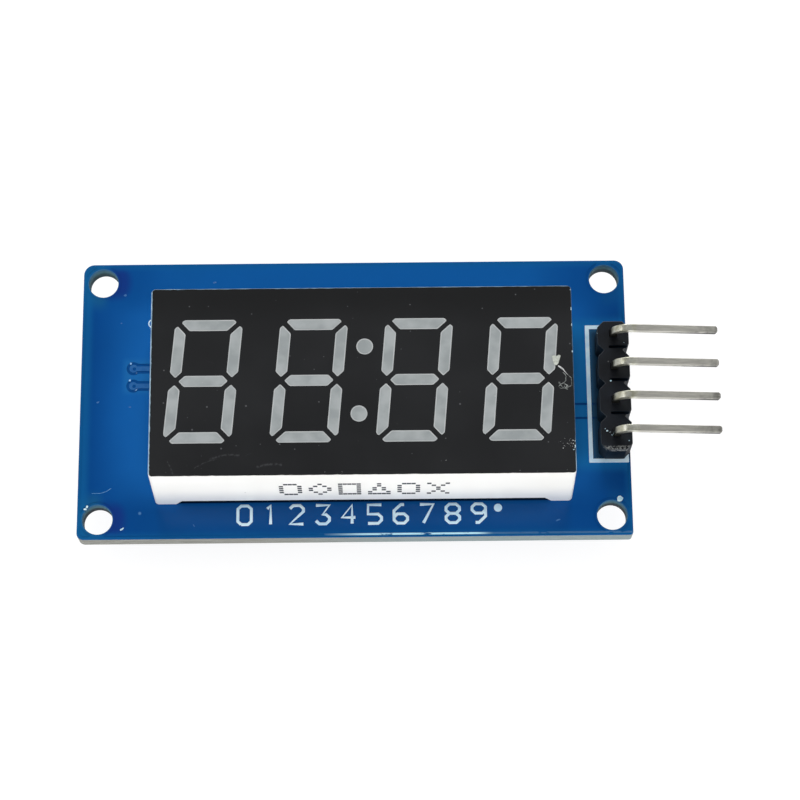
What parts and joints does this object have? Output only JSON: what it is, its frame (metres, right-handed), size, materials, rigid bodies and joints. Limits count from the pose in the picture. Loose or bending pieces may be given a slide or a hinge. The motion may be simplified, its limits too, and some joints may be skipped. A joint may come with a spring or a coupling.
{
  "type": "seven segment display module",
  "caption": "Seven segment LED clock display with a colon on a blue circuit board with corner mounting holes and a right-angle pin header.",
  "frame": {"origin": "centre of the mounting hole pattern, on the circuit board's back face", "axes": "+Z out through the display's face, +X along the board towards the pin header, +Y towards the tops of the digits"},
  "size_m": [0.047, 0.0212, 0.0114],
  "materials": {
    "blue_solder_mask": "glossy blue solder mask over fibreglass laminate",
    "white_reflector_plastic": "white moulded plastic, semi-gloss",
    "black_face": "matt black layer with fine scratches",
    "segment_resin": "grey diffusing resin",
    "substrate_laminate": "bare laminate",
    "led_crystal": "polished chip",
    "seal_resin": "poured resin, smooth",
    "tinned_pin": "tinned steel wire",
    "solder": "bright solder",
    "black_housing_plastic": "moulded black plastic, slightly glossy",
    "header_wire": "tinned square brass wire",
    "chip_moulding": "fine matt mould compound",
    "lead_tin": "matt tinned leads",
    "resistor_body": "glazed black body with tinned end caps",
    "capacitor_body": "fired tan ceramic with tinned end caps"
  },
  "bodies": {
    "root": {"circuit_board": "blue_solder_mask", "display_shell": "white_reflector_plastic", "face_layer": "black_face", "digit_1_segment_a": "segment_resin", "digit_1_segment_b": "segment_resin", "digit_1_segment_c": "segment_resin", "digit_1_segment_d": "segment_resin", "digit_1_segment_e": "segment_resin", "digit_1_segment_f": "segment_resin", "digit_1_segment_g": "segment_resin", "digit_2_segment_a": "segment_resin", "digit_2_segment_b": "segment_resin", "digit_2_segment_c": "segment_resin", "digit_2_segment_d": "segment_resin", "digit_2_segment_e": "segment_resin", "digit_2_segment_f": "segment_resin", "digit_2_segment_g": "segment_resin", "digit_3_segment_a": "segment_resin", "digit_3_segment_b": "segment_resin", "digit_3_segment_c": "segment_resin", "digit_3_segment_d": "segment_resin", "digit_3_segment_e": "segment_resin", "digit_3_segment_f": "segment_resin", "digit_3_segment_g": "segment_resin", "digit_4_segment_a": "segment_resin", "digit_4_segment_b": "segment_resin", "digit_4_segment_c": "segment_resin", "digit_4_segment_d": "segment_resin", "digit_4_segment_e": "segment_resin", "digit_4_segment_f": "segment_resin", "digit_4_segment_g": "segment_resin", "colon_dot_upper": "segment_resin", "colon_dot_lower": "segment_resin", "led_substrate": "substrate_laminate", "led_chips": "led_crystal", "rear_seal": "seal_resin", "display_pin_1": "tinned_pin", "display_pin_2": "tinned_pin", "display_pin_3": "tinned_pin", "display_pin_4": "tinned_pin", "display_pin_5": "tinned_pin", "display_pin_6": "tinned_pin", "display_pin_7": "tinned_pin", "display_pin_8": "tinned_pin", "display_pin_9": "tinned_pin", "display_pin_10": "tinned_pin", "display_pin_11": "tinned_pin", "display_pin_12": "tinned_pin", "display_solder": "solder", "header_housing": "black_housing_plastic", "header_pin_1": "header_wire", "header_pin_2": "header_wire", "header_pin_3": "header_wire", "header_pin_4": "header_wire", "header_solder": "solder", "driver_chip": "chip_moulding", "driver_leads": "lead_tin", "pull_up_resistors": "resistor_body", "capacitors": "capacitor_body"}
  },
  "joints": []
}
